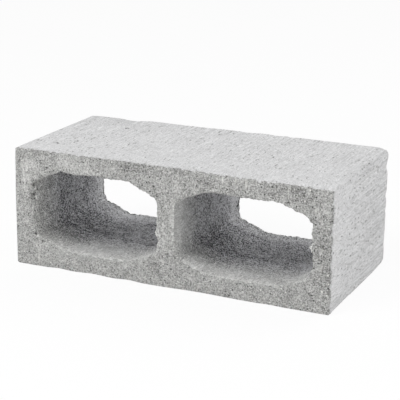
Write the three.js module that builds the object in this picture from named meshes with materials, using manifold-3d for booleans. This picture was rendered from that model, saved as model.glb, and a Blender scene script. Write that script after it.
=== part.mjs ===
// A hollow concrete block with two cores, lying on one of its face shells.
//
// Millimetres, +Z up. The block is one cast piece. X runs along its length and Z through its
// thickness in the wall, and the cores run along Y, from bed face to bed face. The origin is
// in the middle of the face shell that it lies on.
//
// The block is cast standing on a pallet, around two formers that hang into the mould from
// above. A former pulls out because it is narrower at its foot, so the walls are thick at the
// pallet, here at -Y, and thin at the open top of the mould, here at +Y.

import * as THREE from 'three';
import { mergeVertices } from 'three/addons/utils/BufferGeometryUtils.js';
import Module from 'manifold-3d';

const wasm = await Module();
wasm.setup();

// Overall size: 16 by 8 by 6 inches, less the 3/8 inch of a mortar joint each way.
const blockLength = 396.9; // along X
const blockHeight = 193.7; // along Y, the height of one course in a wall
const blockWidth = 142.9; // along Z, the thickness of the wall

// Long outer edges, where the mould's corners are worn a little round.
const outerEdgeRadius = 3;

// Walls around the cores, at the pallet where they are thick and at the top where they are thin.
const shellAtPallet = 23.6;
const shellAtTop = 15.8;
const endWebAtPallet = 23.2;
const endWebAtTop = 13.4;
const middleWebAtPallet = 21.8;
const middleWebAtTop = 20.6;

// The middle web stands a little nearer the left end than the right one.
const middleWebShift = -1.4;

// Each core is an oblong whose four corners are cut off at a low slope, which leaves a thick
// haunch where a shell meets a web. The cut's ends are rounded.
const haunchAlongShell = 38;
const haunchAlongWeb = 16;
const haunchRadius = 9;

// The core's edge at the pallet is rounded over.
const mouthRadius = 2.5;

// How finely a round stretch is cut into flats.
const stepsPerCorner = 4;
const stepsInMouth = 5;

// A cutter runs this far past a bed face, so that it cuts the face cleanly.
const cutterOverrun = 5;

const concrete = new THREE.MeshStandardMaterial({
  color: 0xb3b2af,
  roughness: 0.95,
  metalness: 0,
  flatShading: true,
});

// A rounded oblong, extruded from bed face to bed face and centred on the origin.
function outerBody() {
  const right = blockLength / 2 - outerEdgeRadius;
  const top = blockWidth / 2 - outerEdgeRadius;
  const outline = new THREE.Shape();
  outline.absarc(right, top, outerEdgeRadius, 0, Math.PI / 2);
  outline.absarc(-right, top, outerEdgeRadius, Math.PI / 2, Math.PI);
  outline.absarc(-right, -top, outerEdgeRadius, Math.PI, Math.PI * 1.5);
  outline.absarc(right, -top, outerEdgeRadius, Math.PI * 1.5, Math.PI * 2);
  outline.closePath();

  const body = new THREE.ExtrudeGeometry(outline, {
    depth: blockHeight,
    bevelEnabled: false,
    curveSegments: stepsPerCorner,
  });
  body.rotateX(Math.PI / 2);
  body.translate(0, blockHeight / 2, 0);
  return body;
}

// The four edges of a core at one level, measured from the middle of the block.
// Level 0 is the bed face at the pallet and level 1 is the one at the mould's top.
function coreEdges(side, level) {
  const middleWeb = THREE.MathUtils.lerp(middleWebAtPallet, middleWebAtTop, level);
  const endWeb = THREE.MathUtils.lerp(endWebAtPallet, endWebAtTop, level);
  const shell = THREE.MathUtils.lerp(shellAtPallet, shellAtTop, level);
  const atWeb = middleWebShift + (side * middleWeb) / 2;
  const atEnd = side * (blockLength / 2 - endWeb);
  return {
    left: Math.min(atWeb, atEnd),
    right: Math.max(atWeb, atEnd),
    top: blockWidth / 2 - shell,
    bottom: shell - blockWidth / 2,
  };
}

// The core's outline at one level as points in X and Z, going round anticlockwise. Its eight
// corners are rounded. An outset moves the whole outline out into the walls.
function coreOutline(side, level, outset) {
  const { left, right, top, bottom } = coreEdges(side, level);
  const corners = [
    new THREE.Vector2(right, top - haunchAlongWeb),
    new THREE.Vector2(right - haunchAlongShell, top),
    new THREE.Vector2(left + haunchAlongShell, top),
    new THREE.Vector2(left, top - haunchAlongWeb),
    new THREE.Vector2(left, bottom + haunchAlongWeb),
    new THREE.Vector2(left + haunchAlongShell, bottom),
    new THREE.Vector2(right - haunchAlongShell, bottom),
    new THREE.Vector2(right, bottom + haunchAlongWeb),
  ];
  const points = [];
  for (let i = 0; i < corners.length; i++) {
    const before = corners[(i + corners.length - 1) % corners.length];
    const after = corners[(i + 1) % corners.length];
    points.push(...roundedCorner(before, corners[i], after, outset));
  }
  return points;
}

// An arc in place of one corner of an outline that goes round anticlockwise. The arc touches
// both edges, and an outset only makes its radius larger.
function roundedCorner(before, corner, after, outset) {
  const normalIn = outwardNormal(before, corner);
  const normalOut = outwardNormal(corner, after);
  const toCentre = haunchRadius / (1 + normalIn.dot(normalOut));
  const centre = corner.clone().addScaledVector(normalIn.clone().add(normalOut), -toCentre);
  const turn = Math.acos(normalIn.dot(normalOut));
  const points = [];
  for (let step = 0; step <= stepsPerCorner; step++) {
    const spoke = new THREE.Vector2(haunchRadius + outset, 0);
    spoke.rotateAround(new THREE.Vector2(), normalIn.angle() + (turn * step) / stepsPerCorner);
    points.push(spoke.add(centre));
  }
  return points;
}

function outwardNormal(from, to) {
  const along = to.clone().sub(from).normalize();
  return new THREE.Vector2(along.y, -along.x);
}

// The solid that leaves one core: outlines from the pallet side to the top, joined in a loft.
function coreCutter(side) {
  const sections = [];
  const pallet = -blockHeight / 2;
  sections.push({ y: pallet - cutterOverrun, level: 0, outset: mouthRadius });
  for (let step = 0; step <= stepsInMouth; step++) {
    const angle = (Math.PI / 2) * (1 - step / stepsInMouth);
    const depth = mouthRadius * (1 - Math.sin(angle));
    const outset = mouthRadius * (1 - Math.cos(angle));
    sections.push({ y: pallet + depth, level: depth / blockHeight, outset });
  }
  const overrunLevel = cutterOverrun / blockHeight;
  sections.push({ y: blockHeight / 2 + cutterOverrun, level: 1 + overrunLevel, outset: 0 });

  const rings = sections.map(({ y, level, outset }) =>
    coreOutline(side, level, outset).map((point) => new THREE.Vector3(point.x, y, point.y)),
  );
  return loft(rings);
}

// A closed solid through a row of rings that run along +Y, each with as many points as the
// others. Both ends are closed with a fan, which a ring with no hollows allows.
function loft(rings) {
  const count = rings[0].length;
  const faces = [];
  for (let ring = 0; ring < rings.length - 1; ring++) {
    for (let i = 0; i < count; i++) {
      const here = ring * count + i;
      const beside = ring * count + ((i + 1) % count);
      faces.push(here, here + count, beside);
      faces.push(beside, here + count, beside + count);
    }
  }
  const last = (rings.length - 1) * count;
  for (let i = 1; i < count - 1; i++) {
    faces.push(0, i, i + 1);
    faces.push(last, last + i + 1, last + i);
  }
  const geometry = new THREE.BufferGeometry();
  geometry.setFromPoints(rings.flat());
  geometry.setIndex(faces);
  return geometry;
}

function toSolid(geometry) {
  geometry.deleteAttribute('normal');
  geometry.deleteAttribute('uv');
  const merged = mergeVertices(geometry);
  const vertProperties = new Float32Array(merged.attributes.position.array);
  const triVerts = new Uint32Array(merged.index.array);
  return new wasm.Manifold(new wasm.Mesh({ numProp: 3, vertProperties, triVerts }));
}

function toGeometry(solid) {
  const { vertProperties, triVerts } = solid.getMesh();
  const geometry = new THREE.BufferGeometry();
  geometry.setAttribute('position', new THREE.BufferAttribute(vertProperties, 3));
  geometry.setIndex(new THREE.BufferAttribute(triVerts, 1));
  geometry.computeVertexNormals();
  return geometry;
}

const leftCore = toSolid(coreCutter(-1));
const rightCore = toSolid(coreCutter(1));
const castBody = toSolid(outerBody()).subtract(leftCore).subtract(rightCore);

const block = new THREE.Mesh(toGeometry(castBody), concrete);
block.name = 'concrete_block';
block.position.z = blockWidth / 2;

const part = new THREE.Group();
part.add(block);

export default part;
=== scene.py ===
# %% [markdown]
# # A hollow concrete block
#
# A wall block is one cast piece of stiff, almost dry concrete. It is pressed and shaken in a
# steel mould and comes out at once, so every side keeps the trace of how it left the mould:
# smooth sides that slid along steel, a sandy bed face that stood on the pallet, an open and
# ragged one that the press head struck, and rough walls where the core formers pulled out.
# The solid block is already in the frame at its real size. This lesson gives it those skins.

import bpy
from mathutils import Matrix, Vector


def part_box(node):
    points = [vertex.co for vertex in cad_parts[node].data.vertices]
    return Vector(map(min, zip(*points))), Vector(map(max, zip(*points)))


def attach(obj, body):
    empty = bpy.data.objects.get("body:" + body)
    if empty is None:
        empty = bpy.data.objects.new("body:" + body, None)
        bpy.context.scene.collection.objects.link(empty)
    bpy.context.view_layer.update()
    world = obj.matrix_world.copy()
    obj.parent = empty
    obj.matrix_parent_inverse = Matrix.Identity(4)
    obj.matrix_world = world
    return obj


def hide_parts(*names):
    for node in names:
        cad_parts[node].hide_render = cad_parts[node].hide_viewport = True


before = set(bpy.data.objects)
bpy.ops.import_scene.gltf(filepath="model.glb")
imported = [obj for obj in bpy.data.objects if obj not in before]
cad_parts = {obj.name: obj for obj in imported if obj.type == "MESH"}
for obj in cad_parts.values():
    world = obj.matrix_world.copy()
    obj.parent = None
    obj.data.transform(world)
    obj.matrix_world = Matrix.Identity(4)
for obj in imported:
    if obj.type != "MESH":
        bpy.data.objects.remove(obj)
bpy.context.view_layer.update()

import math

import bmesh
import bpy
import numpy as np
from mathutils import Matrix, Vector, noise

# %% [markdown]
# ## The camera
#
# The block is seen from its front right, a little from above, through a long lens, so that its
# far end hardly shrinks. A camera can be aimed with a Track To constraint, which is quick to
# change. Here it has a place and three angles instead, because they say exactly how it stands
# and they stay what they are when the block or the floor is edited.

# %% Camera
CAMERA_PLACE = (0.6287, -1.3789, 0.5338)
CAMERA_HEADING = 24.588  # degrees, turned left of +Y
CAMERA_PITCH = -16.718  # degrees, where below zero looks down
CAMERA_ROLL = 0.566  # degrees, about the line that it looks along
LEVEL = 90  # degrees, because a camera that isn't turned looks straight down
SENSOR_WIDTH = 36.0  # mm
LENS = 119.419  # mm

camera_data = bpy.data.cameras.new("camera")
camera_data.sensor_width = SENSOR_WIDTH
camera_data.lens = LENS
camera = bpy.data.objects.new("camera", camera_data)
bpy.context.scene.collection.objects.link(camera)
camera.matrix_world = (
    Matrix.Translation(CAMERA_PLACE)
    @ Matrix.Rotation(math.radians(CAMERA_HEADING), 4, "Z")
    @ Matrix.Rotation(math.radians(LEVEL + CAMERA_PITCH), 4, "X")
    @ Matrix.Rotation(math.radians(CAMERA_ROLL), 4, "Z")
)
bpy.context.scene.camera = camera
bpy.context.scene.view_settings.view_transform = "Standard"
print("camera at", CAMERA_PLACE, "with a", LENS, "mm lens")

# %% [markdown]
# ## Two helpers for shaders
#
# The room, the floor and the concrete are all node trees. In the editor each node is dragged in
# and wired by hand, which is hard to write down. In a script, one function that adds a node,
# sets it and links its inputs keeps a whole tree readable from top to bottom. Colours are
# written as they look on a screen, in sRGB hex, while shaders count light, so a second function
# turns the one into the other.


# %% A helper that adds a shader node
def add_node(tree, kind, inputs=None, **settings):
    """Adds a node such as Mix, which is ShaderNodeMix in full, and sets or links its inputs.

    Many nodes have spare sockets that share a name, so only the ones in use are looked at. A
    node that is given for an input is linked by the first of its outputs that is in use.
    """
    node = tree.nodes.new("ShaderNode" + kind)
    for name, value in settings.items():
        setattr(node, name, value)
    in_use = [socket for socket in node.inputs if socket.enabled]
    for name, value in (inputs or {}).items():
        if isinstance(name, str):
            name = [socket.name for socket in in_use].index(name)
        if isinstance(value, bpy.types.Node):
            value = next(socket for socket in value.outputs if socket.enabled)
        if isinstance(value, bpy.types.NodeSocket):
            tree.links.new(value, in_use[name])
        else:
            in_use[name].default_value = value
    return node


# %% A helper that turns a hex colour into linear light
def linear(hex_colour):
    """A colour such as #c8c8c6, by the sRGB standard's formula, as the linear RGBA of shaders."""
    channels = [int(hex_colour[i : i + 2], 16) / 255 for i in (1, 3, 5)]
    return [c / 12.92 if c <= 0.04045 else ((c + 0.055) / 1.055) ** 2.4 for c in channels] + [1.0]


print("mid grey #808080 reflects", round(linear("#808080")[0], 3), "of the light")

# %% [markdown]
# ## A white room
#
# The form of a block shows best in even light from all round. A picture of a studio could give
# that light, but a plain world needs no file and can be set by two numbers: a low light from
# in front, and more of it from behind, as if a white backdrop stood there. Camera rays and
# glossy rays see the world as plain white, however strong its light is.

# %% The room
ROOM_LIGHT = 0.39
BACKDROP_LIGHT = 1.04

world = bpy.data.worlds.new("white_room")
bpy.context.scene.world = world
world.use_nodes = True
room = world.node_tree
room.nodes.clear()
rays = add_node(room, "LightPath").outputs
ways_to_see = {0: rays["Is Camera Ray"], 1: rays["Is Glossy Ray"]}
seen = add_node(room, "Math", ways_to_see, operation="MAXIMUM")
direction = add_node(room, "TexCoord").outputs["Generated"]
axes = add_node(room, "SeparateXYZ", {"Vector": direction})
light = add_node(
    room,
    "MapRange",
    {"Value": axes.outputs["Y"], "To Min": ROOM_LIGHT, "To Max": BACKDROP_LIGHT},
)
strength = add_node(room, "MapRange", {"Value": seen, "To Min": light, "To Max": 1.0})
background = add_node(room, "Background", {"Color": linear("#ffffff"), "Strength": strength})
add_node(room, "OutputWorld", {"Surface": background})
print("room light", ROOM_LIGHT, "rising to", BACKDROP_LIGHT, "behind the block")

# %% [markdown]
# ## Four soft lamps
#
# In the room's light alone, the top and the sides are too alike. A sun lamp would tell them
# apart but draw hard shadows, so square area lamps are used, like the softboxes of a studio.
# The strong one stands high at the front left, and three weak ones fill the right end, the
# front, and the top from behind. They are weak enough that the pale top doesn't clip to white.

# %% Four soft lamps
BLOCK_MIDDLE = Vector((0.0, 0.0, 0.07))


def softbox(name, towards, distance, size, power):
    """A square lamp that faces the block from some direction, with its sizes in metres."""
    data = bpy.data.lights.new(name, "AREA")
    data.shape = "SQUARE"
    data.size = size
    data.energy = power
    lamp = bpy.data.objects.new(name, data)
    bpy.context.scene.collection.objects.link(lamp)
    away = Vector(towards).normalized() * distance
    turn = (-away).to_track_quat("-Z", "Y").to_matrix().to_4x4()
    lamp.matrix_world = Matrix.Translation(BLOCK_MIDDLE + away) @ turn
    print(name, "of", power, "W,", distance, "m away")


softbox("overhead_softbox", towards=(-0.3, -0.58, 0.76), distance=2.2, size=1.2, power=24.0)
softbox("side_softbox", towards=(0.85, -0.45, 0.25), distance=1.3, size=1.0, power=3.5)
softbox("front_fill", towards=(0.2, -0.95, 0.2), distance=2.2, size=1.2, power=4.0)
softbox("back_softbox", towards=(0.45, 0.62, 0.65), distance=2.2, size=1.2, power=8.0)

# %% [markdown]
# ## The floor
#
# The block stands on a sheet of white paper that runs out of sight. A shadow catcher would
# leave the sheet out, but it needs a compositor to put the shadow back on white. White paper
# under plain light renders a little grey, so the camera sees it mixed with white of strength 1.
# The mix leaves a part of the real shading, and with it the shadow under the block.

# %% Floor
FLOOR_HALF = 8.0  # metres

floor_mesh = bpy.data.meshes.new("floor")
sheet_shape = bmesh.new()
bmesh.ops.create_grid(sheet_shape, x_segments=1, y_segments=1, size=FLOOR_HALF)
sheet_shape.to_mesh(floor_mesh)
sheet_shape.free()
floor = bpy.data.objects.new("floor", floor_mesh)
bpy.context.scene.collection.objects.link(floor)
print("floor", 2 * FLOOR_HALF, "m wide")

# %% White paper
# Paper is matt. It looks white because it sends back nearly all of the light, every way.
FLOOR_WHITENESS = 0.92

sheet = bpy.data.materials.new("white_paper_sheet")
sheet.use_nodes = True
tree = sheet.node_tree
tree.nodes.clear()
seen = add_node(tree, "LightPath").outputs["Is Camera Ray"]
matt = {"Base Color": linear("#f4f4f4"), "Roughness": 0.9, "Specular IOR Level": 0.2}
paper = add_node(tree, "BsdfPrincipled", matt)
white = add_node(tree, "Emission", {"Strength": 1.0})
share = add_node(tree, "Math", {0: seen, 1: FLOOR_WHITENESS}, operation="MULTIPLY")
seen_sheet = add_node(tree, "MixShader", {"Fac": share, 1: paper, 2: white})
add_node(tree, "OutputMaterial", {"Surface": seen_sheet})
floor_mesh.materials.append(sheet)
print("the camera sees the sheet as", round(100 * FLOOR_WHITENESS), "percent plain white")

# %% [markdown]
# ## A mesh fine enough to weather
#
# The CAD solid has only the flats and tapers of the mould, in long thin triangles that can't
# hold a worn edge. A voxel remesh would give even quads, but it spends as many on a plain side
# as on a ragged rim, and it rounds every edge. So a merged copy of the solid is cut instead,
# like a loaf, by planes across all three axes. Every arris stays where it is, and the rims and
# the bed faces are divided once more, where the concrete is at its roughest.

# %% Merge a copy of the block
MM = 0.001
SAME_PLACE = 0.001 * MM
FINEST_STEP = 1.2 * MM  # flats in the rounded mouths that are narrower than this are merged
FLAT_ENOUGH = math.radians(0.3)

cad_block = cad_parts["concrete_block"]
low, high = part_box("concrete_block")

solid = bmesh.new()
solid.from_mesh(cad_block.data)
bmesh.ops.remove_doubles(solid, verts=solid.verts, dist=SAME_PLACE)
bmesh.ops.remove_doubles(solid, verts=solid.verts, dist=FINEST_STEP)
bmesh.ops.dissolve_limit(solid, angle_limit=FLAT_ENOUGH, verts=solid.verts, edges=solid.edges)
print("merged into", len(solid.faces), "flats")

# %% Slice it along each axis
SLICE = 5.5 * MM
ON_THE_CUT = 0.05 * MM  # points closer to a cut than this count as lying on it
SLIVER = 0.6 * MM  # points that the cuts leave closer together than this are merged

for axis in range(3):
    across = Vector([float(i == axis) for i in range(3)])
    slices = round((high[axis] - low[axis]) / SLICE)
    for step in range(1, slices):
        level = low[axis] + (high[axis] - low[axis]) * step / slices
        bmesh.ops.bisect_plane(
            solid,
            geom=solid.verts[:] + solid.edges[:] + solid.faces[:],
            dist=ON_THE_CUT,
            plane_co=across * level,
            plane_no=across,
        )
bmesh.ops.remove_doubles(solid, verts=solid.verts, dist=SLIVER)
print("sliced into", len(solid.faces), "faces")


# %% Helpers that divide some faces
def triangulate_big_faces():
    """Cuts every face of more than four corners into triangles."""
    bmesh.ops.triangulate(solid, faces=[face for face in solid.faces if len(face.verts) > 4])


def divide(faces, longest):
    """Halves every edge of some faces that is longer than a length."""
    edges = {edge for face in faces for edge in face.edges if edge.calc_length() > longest}
    bmesh.ops.subdivide_edges(solid, edges=list(edges), cuts=1, use_grid_fill=True)
    triangulate_big_faces()
    print("divided into", sum(len(face.verts) - 2 for face in solid.faces), "triangles")


# %% Divide the whole block, its bed faces and rims, and the broken mouths
LONGEST = 3.4 * MM
LONGEST_AT_RIMS = 1.7 * MM
LONGEST_AT_CRUMBS = 0.9 * MM
ROUNDS_AT_CRUMBS = 2
RIM = 5 * MM
# Where crumbs broke out of the mouths, in mm from the lower left corner at the pallet.
CRUMBS_OUT = [(24, 6, 98), (24, 7, 84), (29, 4, 38), (374, 3, 74), (374, 3, 50), (207, 190, 48)]
CRUMB_REACH = 8  # mm


def near_bed_face(face):
    y = face.calc_center_median().y
    return min(y - low.y, high.y - y) < RIM


def near_crumbs_out(face):
    place = (face.calc_center_median() - low) / MM
    return any((place - Vector(crumb)).length < CRUMB_REACH for crumb in CRUMBS_OUT)


triangulate_big_faces()
divide(solid.faces, LONGEST)
divide([face for face in solid.faces if near_bed_face(face)], LONGEST_AT_RIMS)
for _ in range(ROUNDS_AT_CRUMBS):
    divide([face for face in solid.faces if near_crumbs_out(face)], LONGEST_AT_CRUMBS)

# %% [markdown]
# ## Where each finish lies
#
# The sides, the two bed faces and the core walls each left the mould in a way of their own, and
# each gets its own material. Faces can be picked by hand in the editor, but a rule by direction
# and place is sure to take them all. The pallet's coarse finish also goes a little way round
# the arrises, where the skin crumbled off, and a noise makes its border uneven.

# %% Which finish each face has
SKIN, PALLET, STRUCK, CORE = range(4)
BED_FACE_TURN = 0.7  # a normal with more than this along the cores is a bed face's
WALL_LEAST = 9 * MM  # every wall of the block is thicker than this
CRUMBLED = 1.8 * MM  # how far the pallet's coarse finish goes round the upper arris
CRUMBLED_ELSEWHERE = 0.4  # of that at the other three
CRUMBLED_WAVE = 4 * MM
CRUMBLED_UNEVENLY = 2  # how much the noise counts
TOP_SKIN = 2 * MM  # what lies this close to the top belongs to it


def crumbled_band(centre):
    """How far the coarse finish goes round the arrises at this place."""
    share = 1.0 if centre.z > high.z - TOP_SKIN else CRUMBLED_ELSEWHERE
    return share * CRUMBLED * (1 + CRUMBLED_UNEVENLY * noise.noise(centre / CRUMBLED_WAVE))


def finish_of(face):
    centre = face.calc_center_median()
    from_side = min(high.x - abs(centre.x), centre.z - low.z, high.z - centre.z)
    if abs(face.normal.y) > BED_FACE_TURN:
        return PALLET if centre.y < 0 else STRUCK
    if from_side > WALL_LEAST:
        return CORE
    return PALLET if centre.y - low.y < crumbled_band(centre) else SKIN


solid.normal_update()
for face in solid.faces:
    face.material_index = finish_of(face)
print("finishes", [sum(face.material_index == i for face in solid.faces) for i in range(4)])

block_mesh = bpy.data.meshes.new("cast_block")
solid.to_mesh(block_mesh)
solid.free()

# %% [markdown]
# ## All points as arrays
#
# Wear means moving about a hundred thousand points by small amounts. Sculpt Mode does it by
# hand and can't be repeated, and a loop in Python over the points is slow. Blender can hand
# over all places at once as a flat array, so each kind of wear becomes a sum over arrays that
# can be read, changed and run again. Places are in millimetres from the block's lower left
# corner at the pallet: along the block, deep into it from the pallet's side, and up.

# %% Every point
count = len(block_mesh.vertices)
points = np.empty(count * 3)
block_mesh.vertices.foreach_get("co", points)
points = (points.reshape(-1, 3) - np.array(low)) / MM
normals = np.empty(count * 3)
block_mesh.vertices.foreach_get("normal", normals)
normals = normals.reshape(-1, 3)
LENGTH, HEIGHT, WIDTH = (np.array(high) - np.array(low)) / MM
X, Y, Z = range(3)  # the columns of the points, and the block's axes
along, deep, up = points.T.copy()
print(count, "points in a box of", LENGTH.round(1), HEIGHT.round(1), WIDTH.round(1), "mm")


# %% A helper for soft edges
def ramp(value, start, stop):
    """0 at start and before it, 1 at stop and past it, with a smooth change between."""
    share = np.clip((value - start) / (stop - start), 0.0, 1.0)
    return share * share * (3 - 2 * share)


# %% Where each point is
ARRIS_ZONE = (0.5, 4.0)  # mm in from an arris, where a bed face's lumps begin and are full

from_side = np.minimum.reduce([along, LENGTH - along, up, WIDTH - up])
far_in = from_side > WALL_LEAST / MM
facing_bed = np.abs(normals[:, Y])
on_bed_face = facing_bed * ramp(from_side, *ARRIS_ZONE)
on_core_wall = far_in * (1 - facing_bed)
on_skin = ~far_in * (1 - facing_bed)
print(int(far_in.sum()), "points further in than", round(WALL_LEAST / MM), "mm")

# %% [markdown]
# ## How coarse each surface is
#
# Sand and small stones of up to about 5 mm lie under the paste. Where the surface was torn, as
# in the cores, they stand out as lumps, and on the sides that slid along steel they hardly
# show. A Displace modifier with a texture could push the points, but it knows one strength for
# the whole piece. Here two noises, one for the lumps and one for wider swells, are weighed by
# where each point lies, and every point is set back along its own normal.


# %% A helper for lumps
def waves(size, seed):
    """Smooth noise from -1 to 1 at every point, with lumps about size across."""
    shift = Vector((seed, 2 * seed, 3 * seed))
    return np.array([noise.noise(Vector(point) / size + shift) for point in points])


# %% Lumps and swells
LUMP = 5.0  # mm
SWELL = 13.0  # mm
# How far each surface is set back, in mm: on average, by its lumps and by its swells.
CORE_WALL_RELIEF = (0.35, 0.55, 0.45)
BED_FACE_RELIEF = (0.2, 0.3, 0.25)
SKIN_RELIEF = (0.0, 0.1, 0.12)

lumps = waves(LUMP, seed=3.0)
swells = waves(SWELL, seed=4.0)


def relief_of(average, by_lumps, by_swells):
    return average + by_lumps * lumps + by_swells * swells


setback = on_core_wall * relief_of(*CORE_WALL_RELIEF)
setback += on_bed_face * relief_of(*BED_FACE_RELIEF)
setback += on_skin * np.maximum(0.0, relief_of(*SKIN_RELIEF))
print("set back by", setback.min().round(2), "to", setback.max().round(2), "mm")

# %% [markdown]
# ## Chips and burrs at the mouths
#
# The edge of a core is the weakest place of a fresh block. Crumbs stay on the former and leave
# a chip, and where the former dragged the concrete with it, a burr stands in the opening. Each
# could be cut or added with a Boolean, which leaves a hard seam. A soft round mark of a few
# millimetres that moves the wall in or out does the same and melts into the lumps around it.


# %% A helper for soft round marks
def marks(spots):
    """The sum of soft round marks. Each has a middle, a reach each way, and a strength."""
    total = np.zeros(count)
    for middle, reach, strength in spots:
        distance = ((np.stack([along, deep, up]).T - middle) / reach) ** 2
        total += strength * np.exp(-distance.sum(axis=1))
    return total


# %% Chips, and burrs where the strength is below zero
# Each has a middle (along, deep, up), a reach each way and a depth, all in mm.
LEFT_WEB_CHIPS = [
    ((24, 5, 98.5), (4, 4, 2.6), 2.6), ((24, 6.5, 93.6), (4, 2.4, 1.2), -1.4),
    ((24, 5, 86.5), (4, 4, 1.8), 2.0), ((24, 8, 83.4), (4, 1.8, 1.2), -1.4),
    ((24, 6.5, 81), (4, 2.2, 1.2), 1.8), ((28, 4, 39.8), (4, 3, 1.4), 1.8),
    ((23, 0, 88), (6, 10, 14), -0.5), ((28, 1, 38), (4, 2, 1.0), -1.0),
]  # fmt: skip
MIDDLE_WEB_CHIPS = [
    ((185, 0, 64), (8, 9, 6), -2.4), ((187, 0, 53.5), (5, 7, 2.4), 2.2),
    ((186, 0, 46), (6, 8, 4), -0.8), ((183, 0, 104), (8, 9, 8), -0.6),
    ((207, 0.5, 78), (3, 3, 34), -0.9),
]  # fmt: skip
RIGHT_WEB_CHIPS = [
    ((373, 0, 104), (6, 7, 3), -2.0), ((374, 0, 91), (6, 7, 7), -2.2),
    ((372, 0, 74), (6, 8, 3.6), -3.4), ((373, 0, 56), (5, 6, 3), 0.8),
    ((372, 0, 46), (6, 8, 3), -1.6), ((366, 0, 38), (4, 6, 3), -1.2),
]  # fmt: skip
UPPER_SHELL_CHIPS = [
    ((62, 0, 121), (6, 8, 4), 0.8), ((80, 0, 120), (12, 8, 4), -1.2),
    ((300, 0, 122), (40, 8, 7), -0.5), ((345, 0, 117), (8, 8, 5), -0.9),
    ((365, 0, 110), (6, 8, 4), 1.4),
]  # fmt: skip
STRUCK_RIM_CHIPS = [
    ((55, 194, 15), (38, 14, 9), 1.1), ((57, 194, 13.5), (5, 8, 4), 1.2),
    ((24, 194, 28), (14, 12, 10), 0.9), ((13, 194, 52), (8, 10, 18), 0.8),
    ((15, 194, 31), (6, 12, 5), -1.6), ((19, 194, 28), (6, 8, 4), 1.8),
    ((285, 194, 16), (30, 14, 9), -0.9), ((207.5, 192, 48), (3, 5, 1.6), 1.0),
]  # fmt: skip
chips = LEFT_WEB_CHIPS + MIDDLE_WEB_CHIPS + RIGHT_WEB_CHIPS + UPPER_SHELL_CHIPS + STRUCK_RIM_CHIPS

setback += marks(chips) * far_in
print(len(chips), "chips and burrs")

# %% Mouths that are worn wider at the pallet
# The upper sides of the lower shell wore the most.
MOUTH_WEAR = 1.2  # mm
MOUTH_WEAR_REACH = 7.0  # mm
FACING_UP = 0.3  # a normal that rises more than this belongs to an upper side

on_lower_shell = normals[:, Z] > FACING_UP
worn = on_core_wall * on_lower_shell * (1 - ramp(deep, 0.0, MOUTH_WEAR_REACH))
setback += MOUTH_WEAR * worn
points -= normals * setback[:, None]
print("deepest chip", setback.max().round(2), "mm, highest burr", -setback.min().round(2), "mm")

# %% [markdown]
# ## The ragged rims of the cores
#
# Seen from the front, the rim of a core is not a straight line but a row of missing and
# standing grains, worst at the struck top, where the wall is thin and nothing held it. Setting
# the wall back along its normals doesn't move that line sideways on the bed face. So the wall
# and the bed face are shifted alike near the rim, and the edge that they share wanders.


# %% A helper for zones before an end
def before_end(value, end, zone):
    """0 before a zone, and 1 past it. The zone is given as two distances before an end."""
    begins, full = zone
    return ramp(value, end - begins, end - full)


# %% Shift what lies near a rim
SIDE_ZONE = (3.0, 10.0)  # mm from the outer sides, where the shift begins and is full
STRUCK_RIM = (18, 2)  # mm before the struck face, where it begins and is full
PALLET_RIM = (2.0, 10.0)  # mm from the pallet, where it fades and is gone
COARSE_GRAIN = 7.0  # mm
FINE_GRAIN = 3.0  # mm
# How far the coarse and the fine grains shift each rim, in mm.
STRUCK_SHIFT = (1.2, 1.3)
PALLET_SHIFT = (0.7, 1.6)

in_from_side = ramp(from_side, *SIDE_ZONE)
torn = before_end(deep, HEIGHT, STRUCK_RIM) * in_from_side
crumbly = (1 - ramp(deep, *PALLET_RIM)) * in_from_side
for axis, seed in ((X, 11.0), (Z, 12.0)):
    coarse = waves(COARSE_GRAIN, seed)
    fine = waves(FINE_GRAIN, seed + 3)
    for near_rim, (by_coarse, by_fine) in ((torn, STRUCK_SHIFT), (crumbly, PALLET_SHIFT)):
        points[:, axis] += near_rim * (by_coarse * coarse + by_fine * fine)
print(int((torn > 0).sum()), "points near the struck rims")

# %% [markdown]
# ## The struck bed face
#
# At the mould's open top the press head came down on loose concrete, so this face is uneven,
# and its outer arrises dip wherever the mould was filled a little short. An array of random
# dents would look right too, but the outline against the background is what the eye reads
# first. The dips are therefore a short list along each arris, and noise does the rest. The
# unevenness is taken up over the last 18 mm of the walls, so that no face folds over.


# %% A helper for dips along an arris
def dips(value, hollows):
    """The sum of soft hollows along an arris. Each has a place, a half width and a depth."""
    total = np.zeros(count)
    for place, half_width, depth in hollows:
        total += depth * np.exp(-(((value - place) / half_width) ** 2))
    return total


# %% Dips in the two arrises that show
# Each has a place, a half width and a depth, in mm. Places on the upper arris are from the
# left end, and on the right one from the ground. A depth below zero is a rise.
UPPER_ARRIS_DIPS = [
    (0, 8, 4.0), (22, 50, 7.0), (62, 14, 7.6), (76, 6, 1.6), (135, 50, 3.8), (218, 9, 3.4),
    (238, 8, -1.5), (255, 6, 2.2), (275, 4, 3.2), (300, 20, -1.0),
]  # fmt: skip
RIGHT_ARRIS_DIPS = [
    (143, 4, 2.4), (122.5, 6.5, 6.6), (105, 6, -2.5), (85.5, 4.5, 4.2), (78, 3, -1.5),
    (66, 3, 2.2), (52, 8, -1.5), (27, 6, 2.2), (0, 3, 4.0),
]  # fmt: skip
STRUCK_REACH = 18  # mm
STRUCK_LOW = 0.3  # mm that the face lies low on average
STRUCK_WAVE = 0.6  # mm high, the wide waves and the narrow ones
WIDE, NARROW = 24.0, 7.0  # mm across
UPPER_ZONE = (14, 3)  # mm below the top, where the upper arris's dips begin and are full
RIGHT_ZONE = (10, 2)  # mm before the right end, likewise

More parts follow.
